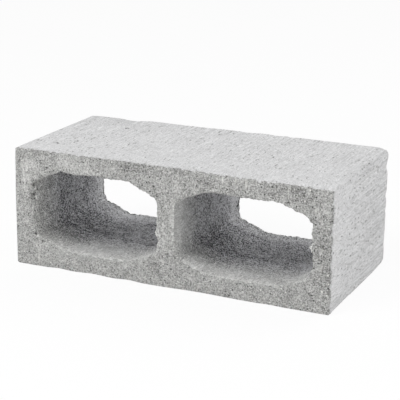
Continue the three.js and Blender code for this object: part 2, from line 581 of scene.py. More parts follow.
unevenness = STRUCK_LOW + STRUCK_WAVE * waves(WIDE, seed=1.7)
unevenness += STRUCK_WAVE * waves(NARROW, seed=5.1)
unevenness += before_end(up, WIDTH, UPPER_ZONE) * dips(along, UPPER_ARRIS_DIPS)
unevenness += before_end(along, LENGTH, RIGHT_ZONE) * dips(up, RIGHT_ARRIS_DIPS)
points[:, Y] -= ramp(deep, HEIGHT - STRUCK_REACH, HEIGHT) * np.maximum(unevenness, 0.0)
print("struck face set back by up to", unevenness.max().round(1), "mm")

# %% [markdown]
# ## The long arrises
#
# The solid has all four of them round, as the corners of a used mould are. Three came out
# nearly square, and the upper right one is worn down, the more the nearer it is to the struck
# face. A bevel could be made anew for each, but the round is already there. It is enough to
# push its points out from the middle of the round, or to draw them in to a smaller one.

# %% Three arrises nearly square
MOULD_ROUND = 3.0  # mm
MADE_SQUARE = 0.8  # of the way from round to square
TINY = 1e-9  # keeps a division from one by nothing

for side_x, side_z in ((0.0, 0.0), (0.0, WIDTH), (LENGTH, 0.0)):
    offset_x = MOULD_ROUND - np.abs(points[:, X] - side_x)
    offset_z = MOULD_ROUND - np.abs(points[:, Z] - side_z)
    in_round = (offset_x > 0) & (offset_z > 0)
    longer = np.maximum(np.maximum(offset_x, offset_z), TINY)
    grow = np.where(in_round, MADE_SQUARE * (np.hypot(offset_x, offset_z) / longer - 1), 0.0)
    points[:, X] += offset_x * grow * (1 if side_x else -1)
    points[:, Z] += offset_z * grow * (1 if side_z else -1)
    print(int(in_round.sum()), "points pushed out")

# %% The arris that handling wore down
# The top slopes down to it, over a width that shows more than the small round at its edge.
WORN_WIDTH = 13.0  # mm
WORN_DROP = 2.0  # mm
WORN_FROM = 70.0  # mm from the pallet, and on to the struck face
WORN_ZONE = (20, 4)  # mm below the top, where the drop begins and is full
EDGE_RADIUS = 1.5  # mm

slope = np.clip((along - LENGTH + WORN_WIDTH) / WORN_WIDTH, 0.0, 1.0)
drop = WORN_DROP * slope * ramp(deep, WORN_FROM, HEIGHT) * before_end(up, WIDTH, WORN_ZONE)
points[:, Z] -= drop
outside_x = points[:, X] - (LENGTH - EDGE_RADIUS)
outside_z = points[:, Z] - (WIDTH - drop - EDGE_RADIUS)
reach = np.hypot(outside_x, outside_z)
beyond = (outside_x > 0) & (outside_z > 0) & (reach > EDGE_RADIUS)
pull = np.where(beyond, 1 - EDGE_RADIUS / np.maximum(reach, TINY), 0.0)
points[:, X] -= outside_x * pull
points[:, Z] -= outside_z * pull
print(int(beyond.sum()), "points drawn in")

# %% [markdown]
# ## The arrises around the pallet's bed face
#
# These edges stood on the pallet and met its boards and the corners of the mould. They are the
# straightest of the block, yet grains have crumbled off them, and the lower one has shallow
# hollows. A bevel would make one even line. Noise that acts only within a few millimetres of
# the arris gives the broken one, and where noise alone leaves it too even, a mark is added.

# %% The lower arris
# Each hollow has a place from the left end, a half width and a depth, in mm.
LOWER_ARRIS_DIPS = [(57, 12, 1.1), (104, 18, 1.4), (150, 12, 1.4), (240, 36, 1.0), (325, 12, 0.5)]
PALLET_ARRIS = 12.0  # mm from the pallet, where the wear of these arrises ends
LOWER_ARRIS = 9.0  # mm above the ground, where the hollows end

at_pallet = 1 - ramp(deep, 0.0, PALLET_ARRIS)
at_bottom = 1 - ramp(up, 0.0, LOWER_ARRIS)
hollows = at_pallet * at_bottom * dips(along, LOWER_ARRIS_DIPS)
points[:, Z] += hollows
print("lower arris raised by up to", hollows.max().round(2), "mm")

# %% The upper and the right arris
COARSE_CRUMB = 5.0  # mm across
FINE_CRUMB = 2.6  # mm across
CRUMBLED_AWAY = 0.4  # mm on average
FINE_DEPTH = 2.0  # mm
EDGE = 4.0  # mm from the pallet, where it ends
UPPER_EDGE = (5, 0)  # mm below the top, where it begins and is full
RIGHT_EDGE = (4, 0)  # mm before the right end, likewise
NOTCH = [(98.0, 5, 1.8)]  # in the right arris: height, half width and depth


def crumbled(coarse_depth, seed):
    """How far an arris has crumbled off, in mm, by its coarse and its fine crumbs."""
    coarse = coarse_depth * waves(COARSE_CRUMB, seed)
    return CRUMBLED_AWAY + coarse + FINE_DEPTH * waves(FINE_CRUMB, seed + 4)


at_edge = 1 - ramp(deep, 0.0, EDGE)
gone = at_edge * before_end(up, WIDTH, UPPER_EDGE) * crumbled(coarse_depth=2.4, seed=9.0)
points[:, Z] -= np.maximum(gone, 0.0)
print("upper arris crumbled by up to", gone.max().round(2), "mm")

depth = crumbled(coarse_depth=2.2, seed=19.0) + dips(up, NOTCH)
gone = at_edge * before_end(along, LENGTH, RIGHT_EDGE) * depth
points[:, X] -= np.maximum(gone, 0.0)
print("right arris crumbled by up to", gone.max().round(2), "mm")

# %% Where the pallet's bed face is not quite square
# Its upper arris sinks a little towards the right end, and its left end leans in at the top.
# Each step has a depth and the places where it begins and is full, in mm.
SINKING = [(1.4, 150.0, 330.0), (1.2, 350.0, 392.0)]
LEANING = [(0.6, 85.0, 118.0), (0.7, 126.0, WIDTH)]
UNDER_TOP = (12, 0)  # mm below the top, where the sinking begins and is full
LEFT_END = 8.0  # mm from the left end, where the leaning ends


def in_steps(value, steps):
    """The sum of smooth steps."""
    return sum(depth * ramp(value, start, stop) for depth, start, stop in steps)


sunk = in_steps(along, SINKING)
points[:, Z] -= at_pallet * before_end(up, WIDTH, UNDER_TOP) * sunk
leaned = in_steps(up, LEANING)
points[:, X] += at_pallet * (1 - ramp(along, 0.0, LEFT_END)) * leaned
print("sunk by up to", sunk.max().round(2), "mm, leaned in by", leaned.max().round(2), "mm")

# %% [markdown]
# ## A broken corner
#
# A corner is the first thing to break when a block is set down, and at the lower right one, by
# the struck face, a little is gone. A cut would leave a flat that looks sawn. The points near
# the corner are shifted together instead, less and less away from it.

# %% The lower right corner at the struck face
BROKEN_OFF = np.array([-0.4, -0.5, 1.9])  # mm
BROKEN_REACH = (8, 32, 4)  # mm

corner = marks([((LENGTH, HEIGHT, 0), BROKEN_REACH, 1.0)])
points += corner[:, None] * BROKEN_OFF
print("corner raised by", (corner.max() * BROKEN_OFF[2]).round(2), "mm")

# %% [markdown]
# ## Back into the mesh
#
# The points are kept inside the solid's box, so that the block still lies flat and measures
# what it did. Shading is smooth over the lumps and sharp across the arrises. The old way to get
# that was auto smooth, which is now a modifier. Marking edges as sharp by their angle stays in
# the mesh itself, so the export keeps it.

# %% Put the points back
SHARP = math.radians(55)

points = np.clip(points, 0.0, [LENGTH, HEIGHT, WIDTH])
block_mesh.vertices.foreach_set("co", (points * MM + np.array(low)).ravel())
block_mesh.update()

block = bpy.data.objects.new("cast_block", block_mesh)
bpy.context.scene.collection.objects.link(block)
block_mesh.shade_smooth()
block_mesh.set_sharp_from_angle(angle=SHARP)
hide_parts("concrete_block")
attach(block, "root")
print("weathered block", [round(v, 4) for v in block.dimensions], "m")

# %% [markdown]
# ## Marks to be painted
#
# Some marks belong to one place: paste that was smeared on the pallet and dried paler, a corner
# that stayed damp and darker, grains that were torn out, scratches. Others are painted light and
# shade: highlights on rounded rims, shade in chips and holes, and paler and darker places in the
# cores. They could be drawn on an image, which needs a UV layout and a file. Values stored on the
# points need neither and stay with the mesh, and a mesh this fine holds marks of a few
# millimetres. Each kind of mark becomes one attribute, and the materials read it by its name.

# %% Paler and darker places on the bed face at the pallet
# Each mark has a middle (along, deep, up), a reach each way in mm, and a strength.
PALER_ON_PALLET_FACE = [
    ((69, 0, 132), (13, 8, 6), 0.5), ((24, 0, 123), (8, 8, 6), 0.4),
    ((211, 0, 122), (3, 8, 5), 0.6), ((271, 0, 137), (5, 8, 6), 0.4),
    ((383, 0, 120), (5, 8, 6), 0.3), ((10, 0, 78), (9, 8, 18), 0.1),
    ((15, 0, 60), (12, 8, 40), 0.2), ((190, 0, 57), (6, 6, 7), 0.5),
    # The pale strip down the right core's left jamb, at 206.5 mm, and the pale bands along the
    # lower rims of both mouths, near 25 mm up, are painted highlights on rounded rims.
    ((205, 0, 76), (3, 8, 8), 0.3), ((206.5, -2, 78), (2.6, 2.2, 28), 2.2),
    ((30, 0, 27), (5, 8, 6), 0.4), ((38, 0, 28), (9, 8, 4), 0.9),
    ((58, 0, 20), (9, 8, 8), 0.3), ((48, 0, 14), (18, 6, 7), 0.3),
    ((115, 0, 26), (36, 6, 2.5), 0.6), ((165, 0, 31), (9, 6, 3), 0.5),
    ((179, 0, 37), (8, 6, 3), 0.5), ((205, 0, 24), (8, 6, 7), 0.35),
    ((262, 0, 19), (10, 8, 4), 0.5), ((298, 0, 25), (34, 6, 2.5), 0.4),
    ((385, 0, 24), (4, 8, 4), 0.6), ((12, 0, 110), (1.1, 6, 15), 1.4),
    ((16.7, 0, 121), (1.1, 6, 16), 1.1), ((20.5, 0, 112), (1, 6, 14), 0.5),
    ((37.5, 0, 137), (1.2, 6, 6), 0.7), ((30.8, 0, 27), (1.3, 6, 7), 0.9),
    ((296, 0, 136), (26, 8, 7), 0.2), ((88, 0, 127), (32, 8, 5), 0.35),
]  # fmt: skip
DARKER_ON_PALLET_FACE = [
    ((53, 0, 133), (4, 8, 6), -0.4), ((149, 0, 134), (12, 8, 8), -0.45),
    ((300, 0, 130), (80, 8, 12), -0.2), ((347, 0, 136), (24, 8, 4), -0.5),
    ((360, 0, 124), (18, 6, 9), -0.3), ((22, 0, 47), (5, 5, 7), -0.35),
    ((187, 0, 107), (8, 6, 9), -0.3), ((186, 0, 19), (12, 8, 7), -0.3),
    ((376, 0, 88), (5, 6, 9), -0.45), ((385, 0, 70), (8, 8, 45), -0.4),
    ((390, 0, 42), (7, 8, 22), -0.35), ((349, 0, 18), (16, 8, 8), -0.35),
    ((8, 0, 126), (7, 8, 18), -0.35), ((32, 0, 142), (24, 6, 3), -0.35),
    ((158, 0, 140), (28, 6, 5), -0.4), ((340, 0, 139), (14, 6, 4), -0.3),
    ((169, 0, 139), (13, 6, 5), -0.3),
]  # fmt: skip
print(len(PALER_ON_PALLET_FACE), "paler and", len(DARKER_ON_PALLET_FACE), "darker places")

# %% Painted highlights on crumbs and painted shade in chips at the left web
# The pale marks are painted highlights on crumbs that stand out and catch the light from above,
# and the dark ones are painted shade in the chips.
LEFT_WEB_PAINTED_LIGHT_AND_SHADE = [
    ((23, 6.5, 93.8), (5, 2.2, 1.3), 6.0), ((23, 8.5, 83.4), (5, 1.8, 1.2), 6.0),
    ((28, 2, 37.6), (5, 2.4, 1.1), 3.0), ((23, 7, 99), (5, 3, 3.4), -1.6),
    ((23, 6, 86), (5, 2.6, 3), -1.0), ((22, 0, 84.5), (2, 3, 4.5), -1.6),
    ((23, 0, 91.5), (1.8, 3, 4), -0.9),
]  # fmt: skip
print(len(LEFT_WEB_PAINTED_LIGHT_AND_SHADE), "crumbs and gaps")

# %% Painted light and shade on the core walls
# Paler and darker places on the core walls and floors, painted where the lamps alone leave them
# too dark or too light.
LEFT_CORE_PAINTED_LIGHT_AND_SHADE = [
    ((24, 5, 80), (8, 12, 30), -0.2), ((21, 38, 86), (8, 14, 18), -0.35),
    ((23, 16, 98), (8, 14, 7), -0.6), ((48, 45, 27), (16, 16, 8), -0.6),
    ((20, 60, 82), (6, 8, 8), 0.5), ((26, 12, 62), (14, 24, 30), -0.4),
    ((40, 40, 80), (16, 25, 30), 0.12), ((22, 90, 118), (16, 50, 12), 1.0),
    ((17, 125, 78), (14, 48, 22), 0.35), ((16, 178, 45), (16, 22, 30), 0.9),
    ((45, 12, 36), (22, 30, 12), -0.6), ((32, 22, 35), (12, 18, 7), -0.7),
    ((29, 70, 33), (10, 26, 7), -0.4), ((55, 44, 24), (12, 18, 7), -0.6),
    ((92, 38, 22), (16, 8, 6), -0.5), ((74, 94, 20), (18, 14, 8), -0.5),
    ((104, 110, 19), (12, 14, 8), 0.4), ((138, 92, 21), (26, 28, 12), 0.7),
    ((54, 172, 18), (30, 24, 10), 0.9), ((90, 182, 17), (60, 14, 8), 0.8),
    ((42, 110, 25), (26, 34, 10), -0.2), ((113, 66, 20), (14, 9, 6), 0.35),
]  # fmt: skip
RIGHT_CORE_PAINTED_LIGHT_AND_SHADE = [
    ((209, 8, 78), (4, 10, 26), -0.3), ((208, 25, 85), (8, 30, 26), -0.4),
    ((208, 34, 86), (8, 16, 16), -0.3), ((208, 70, 112), (12, 26, 12), 0.8),
    ((207, 120, 76), (12, 52, 26), 0.5), ((207, 158, 52), (10, 22, 24), 0.6),
    ((211, 182, 70), (10, 16, 40), 0.8), ((212, 30, 48), (10, 22, 14), -0.6),
    ((212, 98, 35), (12, 44, 8), -0.55), ((225, 12, 36), (16, 30, 10), -0.5),
    ((235, 40, 26), (14, 12, 8), -0.3), ((240, 100, 60), (45, 60, 40), -0.1),
    ((226, 182, 25), (14, 14, 8), 0.6), ((291, 76, 20), (22, 12, 8), 0.3),
    ((291, 100, 20), (14, 10, 8), 0.3), ((300, 182, 17), (70, 14, 8), 0.9),
    ((350, 42, 30), (20, 25, 12), 0.3), ((357, 38, 28), (9, 14, 8), 0.5),
    ((342, 80, 23), (18, 34, 12), 1.0), ((226, 72, 28), (20, 36, 12), -0.2),
    ((280, 52, 21), (14, 10, 6), 0.35), ((326, 49, 22), (10, 8, 6), -0.2),
]  # fmt: skip
print(len(LEFT_CORE_PAINTED_LIGHT_AND_SHADE), "tones in the left core,", len(RIGHT_CORE_PAINTED_LIGHT_AND_SHADE), "in the right one")

# %% Tones on the outside
OUTSIDE_TONES = [
    ((60, 165, 143), (60, 25, 6), -0.3), ((397, 150, 70), (6, 45, 35), -0.4),
    ((397, 20, 8), (6, 35, 9), -0.4), ((393, 130, 140), (9, 60, 9), -0.4),
    ((396, 0, 80), (2.2, 2.4, 60), -0.5),
]  # fmt: skip
print(len(OUTSIDE_TONES), "tones on the outside")

# %% Pits
# Grains torn out of the mouths, places where more pores than usual are open, and one where
# there are fewer.
# A grain torn out leaves a hole that the core walls paint nearly black, as the shade in it.
TORN_OUT = [
    ((23, 7, 99.5), (5, 3.4, 3.2), 1.7), ((23, 5.6, 97), (5, 1.8, 1.6), 1.8),
    ((23, 6, 86.5), (5, 3.2, 2.4), 2.6), ((23, 7.4, 81.2), (5, 1.8, 1.4), 3.2),
    ((28, 4.4, 39.8), (5, 2.8, 1.2), 4.0), ((28, 0, 38.6), (5, 1.8, 1.1), 4.0),
    ((207, 189, 48.4), (5, 4.6, 2.2), 4.0),
]  # fmt: skip
OPEN_PORES = [
    ((185, 0, 24), (14, 8, 10), 1.2), ((381, 0, 70), (8, 8, 50), 0.8),
    ((280, 70, 143), (45, 30, 6), 0.5), ((45, 60, 143), (45, 35, 6), 0.5),
    ((397, 100, 70), (6, 100, 80), 0.7), ((393, 130, 140), (9, 60, 9), 0.8),
    ((197, 0, 75), (8, 8, 30), -0.8),
]  # fmt: skip
print(len(TORN_OUT), "grains torn out")

# %% Pits in the smooth sides
# Each was drawn out along the block's height as the block slid from the mould. Those on top
# have a place along the block, those on the right end one above the ground, and both a place
# from the pallet.
PITS_ON_TOP = [
    (63, 77), (49, 57), (21, 62), (105, 142), (74, 144), (53, 141), (39, 168), (212, 175),
    (185, 178), (157, 189), (301, 105), (220, 94), (239, 45), (148, 97), (118, 82), (37, 41),
    (10, 42), (80, 35), (28, 110), (60, 110),
]  # fmt: skip
PITS_ON_END = [
    (96, 150), (57, 160), (85, 137), (80, 141), (73, 113), (59, 102), (47, 74), (40, 59),
    (29, 60), (20, 30), (38, 146), (106, 16), (136, 83), (127, 154), (118, 48), (93, 76),
]  # fmt: skip
PIT_ON_TOP = ((1.8, 4.0, 6), 3.5)  # the reach each way in mm, and the strength
PIT_ON_END = ((6, 3.2, 1.8), 3.0)

drawn_out_pits = [((place, depth, WIDTH), *PIT_ON_TOP) for place, depth in PITS_ON_TOP]
drawn_out_pits += [((LENGTH, depth, place), *PIT_ON_END) for place, depth in PITS_ON_END]
print(len(drawn_out_pits), "pits in the smooth sides")

# %% Scratches, and paste that the foot of a core former pressed into the mouth
SCRAPED = [
    ((15.5, 0, 120), (6, 8, 20), 0.5), ((25, 0, 134), (2, 8, 6), 0.8),
    ((30, 0, 17), (2.2, 8, 12), 1.0), ((110, 0, 13), (2, 8, 6), 0.8),
    ((104, 0, 126), (7, 8, 1.2), 0.8), ((266, 0, 135), (2, 8, 7), 1.0),
    ((284, 0, 138), (2, 8, 5), 0.8), ((295, 0, 136), (2, 8, 7), 0.7),
    ((347, 0, 135), (3, 8, 7), 0.8), ((370, 0, 138), (3, 8, 5), 0.8),
    ((378, 0, 118), (3, 8, 6), 0.7), ((384.5, 0, 58), (1.6, 8, 12), 0.9),
]  # fmt: skip
PRESSED = [
    ((98, 20, 24), (50, 36, 8), 1.0), ((165, 12, 32), (18, 18, 10), 0.7),
    ((197, 0, 75), (8, 8, 30), 0.12), ((210, 26, 75), (9, 34, 32), 0.8),
    ((235, 12, 32), (18, 18, 10), 0.8), ((292, 18, 26), (54, 32, 8), 1.0),
    ((355, 12, 34), (18, 16, 10), 0.6),
]  # fmt: skip
print(len(SCRAPED), "scratched and", len(PRESSED), "pressed places")

# %% Paint them on the points
PAINTED = {
    "tone": PALER_ON_PALLET_FACE
    + DARKER_ON_PALLET_FACE
    + LEFT_WEB_PAINTED_LIGHT_AND_SHADE
    + LEFT_CORE_PAINTED_LIGHT_AND_SHADE
    + RIGHT_CORE_PAINTED_LIGHT_AND_SHADE
    + OUTSIDE_TONES,
    "pitted": TORN_OUT + OPEN_PORES + drawn_out_pits,
    "scraped": SCRAPED,
    "pressed": PRESSED,
}

for name, spots in PAINTED.items():
    layer = block_mesh.attributes.new(name, "FLOAT", "POINT")
    values = marks(spots)
    layer.data.foreach_set("value", values)
    print(name, len(spots), "marks from", values.min().round(2), "to", values.max().round(2))

# %% [markdown]
# ## Concrete, four ways
#
# The body is the same everywhere: grey cement around sand and small crushed stone. It is matt,
# with hardly any gloss, because its open pores scatter light every way. What the eye tells
# apart is how each side was made, so each side has a finish of its own, put together from the
# same few patterns: fine grain, grains of sand, wide clouds, lines along which the concrete
# slid, and pits. Pictures of concrete could give them too, but noise needs no file, never
# repeats, and is laid out by place in the block, so that it reaches into every core.


# %% Start a finish
def new_finish(name):
    """A bare material, the place that its patterns are laid out by, and the painted marks."""
    material = bpy.data.materials.new(name)
    material.use_nodes = True
    tree = material.node_tree
    tree.nodes.clear()
    place = add_node(tree, "TexCoord").outputs["Object"]
    painted = {}
    for mark in PAINTED:
        painted[mark] = add_node(tree, "Attribute", attribute_name=mark).outputs["Fac"]
    return material, tree, place, painted


# %% Grain, a second pattern and clouds, mixed by weight
def mixed_by_weight(tree, place, grain, second, clouds, weights):
    """How high and pale each place is: grain of a size, a second pattern, and wide clouds."""
    rough = {"Vector": place, "Roughness": 0.6}
    fine = add_node(tree, "TexNoise", {**rough, "Scale": 1 / grain, "Detail": 2.0})
    wide = add_node(tree, "TexNoise", {**rough, "Scale": 1 / clouds, "Detail": 3.0})
    parts = add_node(tree, "CombineXYZ", {"X": fine, "Y": second, "Z": wide})
    return add_node(tree, "VectorMath", {0: parts, 1: weights}, operation="DOT_PRODUCT")


# %% Lines drawn out by sliding
def streaks(tree, place, width, stretch, detail, roughness=0.5):
    """Noise drawn out by a number of times along each axis."""
    scale = tuple(1 / times for times in stretch)
    drawn_out = add_node(tree, "Mapping", {"Vector": place, "Scale": scale})
    lines = {"Vector": drawn_out, "Scale": 1 / width, "Detail": detail, "Roughness": roughness}
    return add_node(tree, "TexNoise", lines)


# %% A pair of values as the limits of a Map Range node
def limits(which, pair):
    """Its From limits or its To limits, which have a Min and a Max each."""
    return {which + " Min": pair[0], which + " Max": pair[1]}


# %% A value that changes with depth
def by_depth(tree, place, places, values):
    """Goes evenly from one value to another between two places along the cores."""
    axes = add_node(tree, "SeparateXYZ", {"Vector": place})
    depth = {"Value": axes.outputs["Y"], **limits("From", places), **limits("To", values)}
    return add_node(tree, "MapRange", depth)


# %% [markdown]
# ## Moulded skin
#
# The outer sides slid along steel plates while the concrete was still stiff and wet. Steel
# closes the surface with a film of pale cement paste, and each grain under it drags a faint
# line along the way the block moved. That gives the eye a pale, nearly even grey with fine
# streaks all in one direction and a few short pits. A Wave texture would draw lines that are
# too regular, so the streaks are noise, stretched nine times along the block's height, and
# longer ones that grow stronger towards the struck face, which slid the furthest.

# %% Grain and streaks of the moulded skin
# Cement paste is as fine as flour, and the sand in it is 0.2 to 0.5 mm wide. From where the
# block is seen that would blur to one grey, so the grain is drawn about twice as coarse, and
# so are the streaks, each of which a grain of sand leaves.
SKIN_GRAIN = 0.75 * MM
SKIN_STREAK = 1.2 * MM
SKIN_STREAK_STRETCH = (1, 9, 1)  # how many times as long along each axis
SKIN_DRAG = 1.7 * MM
SKIN_DRAG_STRETCH = (1, 35, 1)
SKIN_CLOUD = 20 * MM
SKIN_WEIGHTS = (1.05, 0.7, 0.14)  # of the grain, the streaks and the clouds
DRAG_MARGIN = 40 * MM  # in from each bed face, where the drags are weakest and strongest
DRAG_SHARES = (0.3, 0.7)
NOISE_MIDDLE = 0.5  # what a noise texture comes to on average

moulded, tree, place, painted = new_finish("dry_cast_concrete_slid_on_steel")
fine_streaks = streaks(tree, place, SKIN_STREAK, SKIN_STREAK_STRETCH, detail=2.0, roughness=0.9)
drags = streaks(tree, place, SKIN_DRAG, SKIN_DRAG_STRETCH, detail=1.0)
drag_share = by_depth(tree, place, (low.y + DRAG_MARGIN, high.y - DRAG_MARGIN), DRAG_SHARES)
centred = add_node(tree, "Math", {0: drags, 1: NOISE_MIDDLE}, operation="SUBTRACT")
laid_over = {0: centred, 1: drag_share, 2: fine_streaks}
both_streaks = add_node(tree, "Math", laid_over, operation="MULTIPLY_ADD")
skin = mixed_by_weight(tree, place, SKIN_GRAIN, both_streaks, SKIN_CLOUD, SKIN_WEIGHTS)
print("skin grain drawn", round(SKIN_GRAIN / MM, 2), "mm wide")


# %% A pattern as a colour
def shaded(tree, pattern, ends, dark, pale):
    """Dark up to the lower end of a pattern, and pale from the upper one."""
    shade = add_node(tree, "MapRange", {"Value": pattern, **limits("From", ends)})
    return add_node(tree, "Mix", {"Factor": shade, "A": dark, "B": pale}, data_type="RGBA")


# %% Shade of the moulded skin
# Where more pores are open, the skin also has a little less contrast between its grains.
SKIN_TONE = 0.12  # how far a painted tone of 1 moves the pattern
SKIN_MIDDLE = NOISE_MIDDLE * sum(SKIN_WEIGHTS)
SKIN_SPREAD = (0.29, 0.31)  # from the middle to the palest, where the skin is closed or open

tone = {0: painted["tone"], 1: SKIN_TONE, 2: skin}
toned = add_node(tree, "Math", tone, operation="MULTIPLY_ADD")
centred = add_node(tree, "Math", {0: toned, 1: SKIN_MIDDLE}, operation="SUBTRACT")
spread = add_node(tree, "MapRange", {"Value": painted["pitted"], **limits("To", SKIN_SPREAD)})
scaled = add_node(tree, "Math", {0: centred, 1: spread}, operation="DIVIDE")
body = shaded(tree, scaled, (-1.0, 1.0), dark=linear("#a6a6a6"), pale=linear("#f3f3f4"))
print("skin pattern centred on", round(SKIN_MIDDLE, 3))


# %% Pits laid over a colour
def with_pits(tree, colour, height, pits, pit_colour):
    """The colour and the height with pits in both. The pit colour is painted shade in the pits."""
    in_pits = {"Factor": pits, "A": colour, "B": linear(pit_colour)}
    pitted = add_node(tree, "Mix", in_pits, data_type="RGBA")
    lowered = add_node(tree, "Math", {0: height, 1: pits}, operation="SUBTRACT")
    return pitted, lowered


# %% End a finish
def finish_concrete(material, colour, height, relief):
    """Concrete is matt everywhere, so its finishes differ only in colour and relief."""
    tree = material.node_tree
    bump = add_node(tree, "Bump", {"Height": height, "Distance": relief})
    matt = {"Base Color": colour, "Normal": bump, "Roughness": 0.95, "Specular IOR Level": 0.25}
    shader = add_node(tree, "BsdfPrincipled", matt)
    add_node(tree, "OutputMaterial", {"Surface": shader})
    print(material.name, "has", len(tree.nodes), "nodes")


# %% Pores of the moulded skin
# Bubbles open at the skin as pores, which sliding draws out to three times their width. Real
# ones are under a millimetre wide, and are drawn larger so that they show.
SKIN_PORE = 1.8 * MM
SKIN_PORE_STRETCH = (1, 10 / 3, 1)
PORE_DEPTHS = (0.658, 0.77)  # the values in the noise where a pore begins and is deepest
PORE_GROWTH = 0.06  # how far a painted pit of 1 lifts the noise
SKIN_BUMP = 0.35 * MM

bubbles = streaks(tree, place, SKIN_PORE, SKIN_PORE_STRETCH, detail=1.0)
growth = {0: painted["pitted"], 1: PORE_GROWTH, 2: bubbles}
more_bubbles = add_node(tree, "Math", growth, operation="MULTIPLY_ADD")
pits = add_node(tree, "MapRange", {"Value": more_bubbles, **limits("From", PORE_DEPTHS)})
colour, height = with_pits(tree, body, skin, pits, "#727271")
finish_concrete(moulded, colour, height, SKIN_BUMP)

# %% [markdown]
# ## The bed face that stood on the pallet
#
# The mix was shaken down against a flat board. The board is pressed on it but doesn't slide, so
# no film of paste forms: single grains of sand show, pale and dark side by side, with small
# gaps between them and a few scratches from the board. The darkest of the pattern stands partly
# for the shade in those gaps, painted into the colour. That gives the eye a coarse, even
# salt-and-pepper grey, a little darker and warmer than the skin. Noise alone looks like fog at
# this size, so Voronoi cells, which have one value each, stand for the grains of sand.


# %% Grains of sand
def sand_grains(tree, place, size):
    """Patches of one value each, as wide as coarse sand."""
    cells = add_node(tree, "TexVoronoi", {"Vector": place, "Scale": 1 / size})
    return add_node(tree, "SeparateColor", {"Color": cells.outputs["Color"]})


# %% Sand and shade of the bed face at the pallet
# Most of the sand is 0.3 to 1 mm wide. It is drawn a little coarser than that, so that it shows.
PALLET_GRAIN = 1.3 * MM
PALLET_SAND = 1.15 * MM
PALLET_CLOUD = 14 * MM
PALLET_WEIGHTS = (0.6, 0.3, 0.18)  # of the grain, the sand and the clouds
PALLET_TONE = 0.14
PALLET_ENDS = (0.3, 0.77)  # the values in the pattern that are darkest and palest

pallet_face, tree, place, painted = new_finish("dry_cast_concrete_off_the_pallet")
sand = sand_grains(tree, place, PALLET_SAND)
sandy = mixed_by_weight(tree, place, PALLET_GRAIN, sand, PALLET_CLOUD, PALLET_WEIGHTS)
tone = {0: painted["tone"], 1: PALLET_TONE, 2: sandy}
toned = add_node(tree, "Math", tone, operation="MULTIPLY_ADD")
# The dark end of this shade stands partly for painted shade between the grains.
body = shaded(tree, toned, PALLET_ENDS, dark=linear("#5e5e5c"), pale=linear("#d8d8d6"))
print("sand drawn", round(PALLET_SAND / MM, 2), "mm wide")


# %% Specks
def specks(tree, place, spacing, reach, share, shift):
    """Round specks about spacing apart, of which a share shows. Reach is in spacings."""
    moved = add_node(tree, "Mapping", {"Vector": place, "Location": (shift, shift, shift)})
    cells = add_node(tree, "TexVoronoi", {"Vector": moved, "Scale": 1 / spacing})
    value = add_node(tree, "SeparateColor", {"Color": cells.outputs["Color"]})
    chosen = add_node(tree, "Math", {0: value, 1: share}, operation="LESS_THAN")
    near = {"Value": cells.outputs["Distance"], **limits("From", (reach, reach / 2))}
    round_speck = add_node(tree, "MapRange", near)
    return add_node(tree, "Math", {0: round_speck, 1: chosen}, operation="MULTIPLY")


# %% Scratches and pale crumbs of the bed face at the pallet
# A scratch is as fine as the grain of sand that cut it, and is drawn wider, as the sand is.
SCRATCH = 1.6 * MM
SCRATCH_STRETCH = (1, 10, 10)
SCRATCH_ENDS = (0.48, 0.62)  # the values in the noise where a scratch begins and is palest
CRUMB_SPACING = 6 * MM

lines = streaks(tree, place, SCRATCH, SCRATCH_STRETCH, detail=1.0)
pale_lines = add_node(tree, "MapRange", {"Value": lines, **limits("From", SCRATCH_ENDS)})
where_scraped = {0: pale_lines, 1: painted["scraped"]}
scratches = add_node(tree, "Math", where_scraped, operation="MULTIPLY")
crumbs = specks(tree, place, CRUMB_SPACING, reach=0.2, share=0.3, shift=0.7)
pale = add_node(tree, "Math", {0: scratches, 1: crumbs}, operation="MAXIMUM")
crumbs_on_body = {"Factor": pale, "A": body, "B": linear("#e4e4e0")}
scratched = add_node(tree, "Mix", crumbs_on_body, data_type="RGBA")
print("crumbs about", round(CRUMB_SPACING / MM, 1), "mm apart")


# %% Paste laid over a colour
def with_paste(tree, colour, pressed, strength, paste):
    """The colour with paste over it where it was pressed on."""
    share = add_node(tree, "Math", {0: pressed, 1: strength}, operation="MULTIPLY")
    return add_node(tree, "Mix", {"Factor": share, "A": colour, "B": paste}, data_type="RGBA")


# %% Pits and pressed paste of the bed face at the pallet
# About a third of the places hold a pit, and more of them where the face is painted as pitted.
PALLET_PIT_SPACING = 4.5 * MM
PALLET_PIT_ENDS = (-0.54, 1.0)  # the painted values where no place and where every one has a pit
PALLET_PASTE = 0.6  # how well the pressed paste covers
PALLET_BUMP = 0.9 * MM

share = add_node(tree, "MapRange", {"Value": painted["pitted"], **limits("From", PALLET_PIT_ENDS)})
pits = specks(tree, place, PALLET_PIT_SPACING, reach=0.24, share=share, shift=0.3)
pitted, height = with_pits(tree, scratched, sandy, pits, "#3a3a38")
colour = with_paste(tree, pitted, painted["pressed"], PALLET_PASTE, linear("#b0b0ae"))
finish_concrete(pallet_face, colour, height, PALLET_BUMP)

# %% [markdown]
# ## The struck bed face
#
# At the open top of the mould the press head pats loose mix down and lifts off again. Nothing
# smooths it, so this is the roughest side: coarse sand and small stones with open holes between
# them. That gives the eye large grains and deep shadows. The lumps themselves are in the mesh
# already, and the same patterns as at the pallet, twice as coarse and with more relief, are
# laid over them.

# %% Bed face at the struck top
# The grains that stand open here are 2 to 3 mm wide, which shows without drawing them coarser.
STRUCK_GRAIN = 2.2 * MM
STRUCK_SAND = 2.4 * MM
STRUCK_CLOUD = 12 * MM
STRUCK_WEIGHTS = (0.8, 0.25, 0.35)
STRUCK_ENDS = (0.4, 1.0)
STRUCK_PIT_SPACING = 4.4 * MM
STRUCK_BUMP = 1.5 * MM

